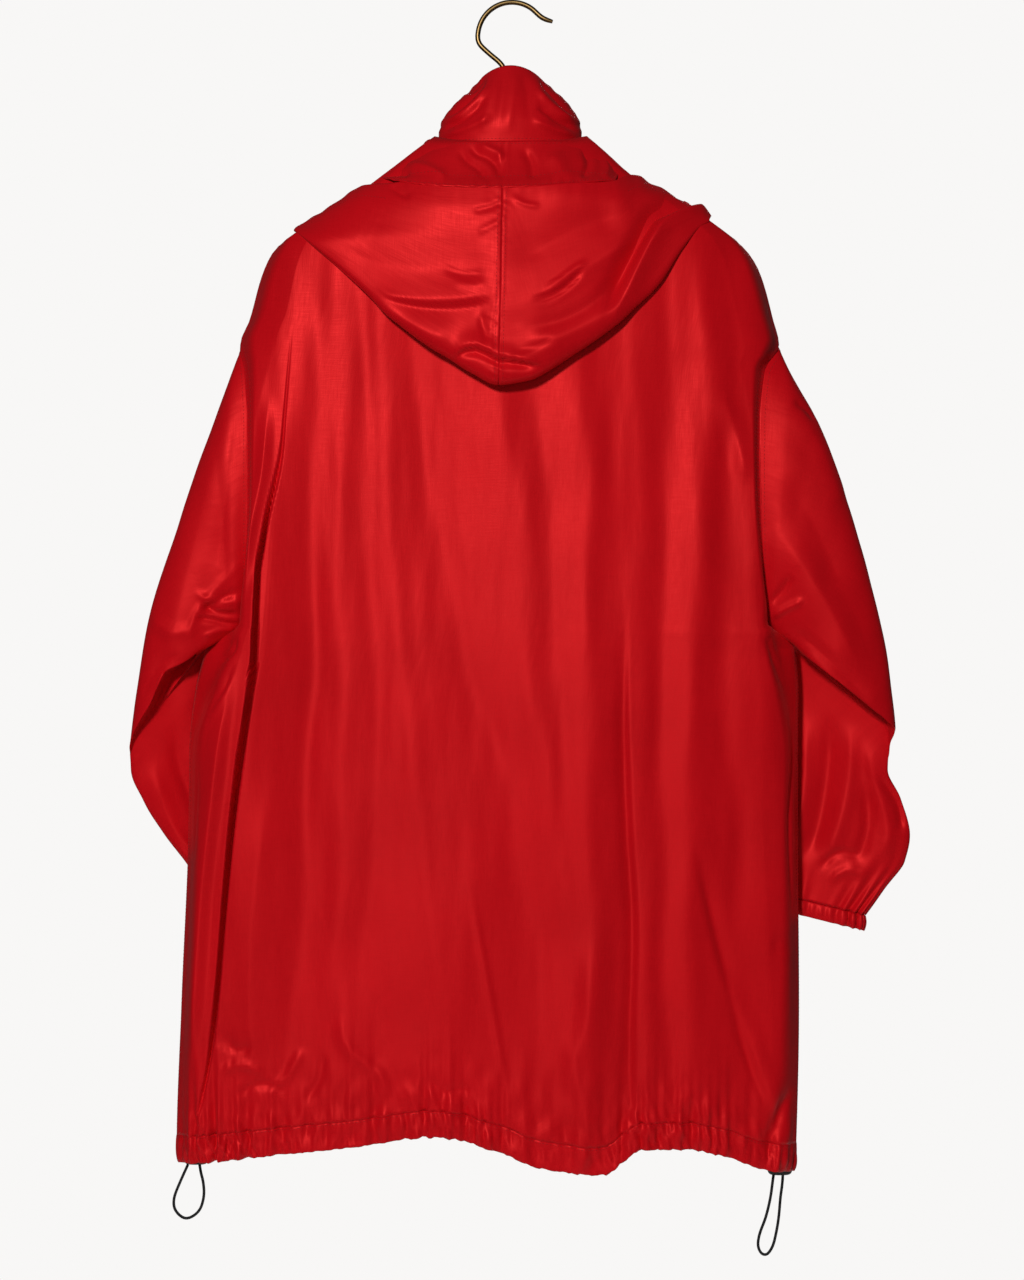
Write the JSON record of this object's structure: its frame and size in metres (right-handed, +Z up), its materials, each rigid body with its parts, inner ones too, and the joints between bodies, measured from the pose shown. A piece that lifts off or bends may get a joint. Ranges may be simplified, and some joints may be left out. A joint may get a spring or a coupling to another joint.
{
  "type": "hooded parka on a coat hanger",
  "caption": "Long loose hooded pull-cord parka of thin nylon with a tall collar and elastic cuffs, hanging on a wire-hook coat hanger.",
  "frame": {"origin": "inner top of the hanger's hook, where the rail or peg carries it", "axes": "+Z up, +Y from the garment's back to its zipped front, +X to the wearer's right"},
  "size_m": [0.666, 0.1408, 1.0723],
  "materials": {
    "taffeta": "thin shiny woven nylon",
    "zip_tape": "woven tape",
    "elastic_cord": "braided elastic",
    "black_plastic": "smooth moulded",
    "bronze": "dark polished",
    "dark_wood": "satin varnish"
  },
  "bodies": {
    "parka": {"back_panel": "taffeta", "front_left": "taffeta", "front_right": "taffeta", "sleeve_left": "taffeta", "sleeve_right": "taffeta", "collar": "taffeta", "hood_band": "taffeta", "hood_left": "taffeta", "hood_right": "taffeta", "hem_back": "taffeta", "hem_front_left": "taffeta", "hem_front_right": "taffeta", "cuff_left": "taffeta", "cuff_right": "taffeta", "zip_tape_left": "zip_tape", "zip_tape_right": "zip_tape", "zip_chain": "black_plastic", "zip_slider": "black_plastic", "cord_stopper_left": "black_plastic", "cord_stopper_right": "black_plastic", "cord_loop_left": "elastic_cord", "cord_loop_right": "elastic_cord", "hanger_hook": "bronze", "hanger_nut": "bronze", "hanger_bar": "dark_wood"},
    "pull": {"zip_pull": "black_plastic"}
  },
  "joints": [
    {"name": "zip_pull_hinge", "type": "hinge", "parent": "parka", "child": "pull", "pos_m": [-0.00234, 0.0452, -0.212], "axis": [1, 0, 0], "range_deg": [0, 175]}
  ]
}
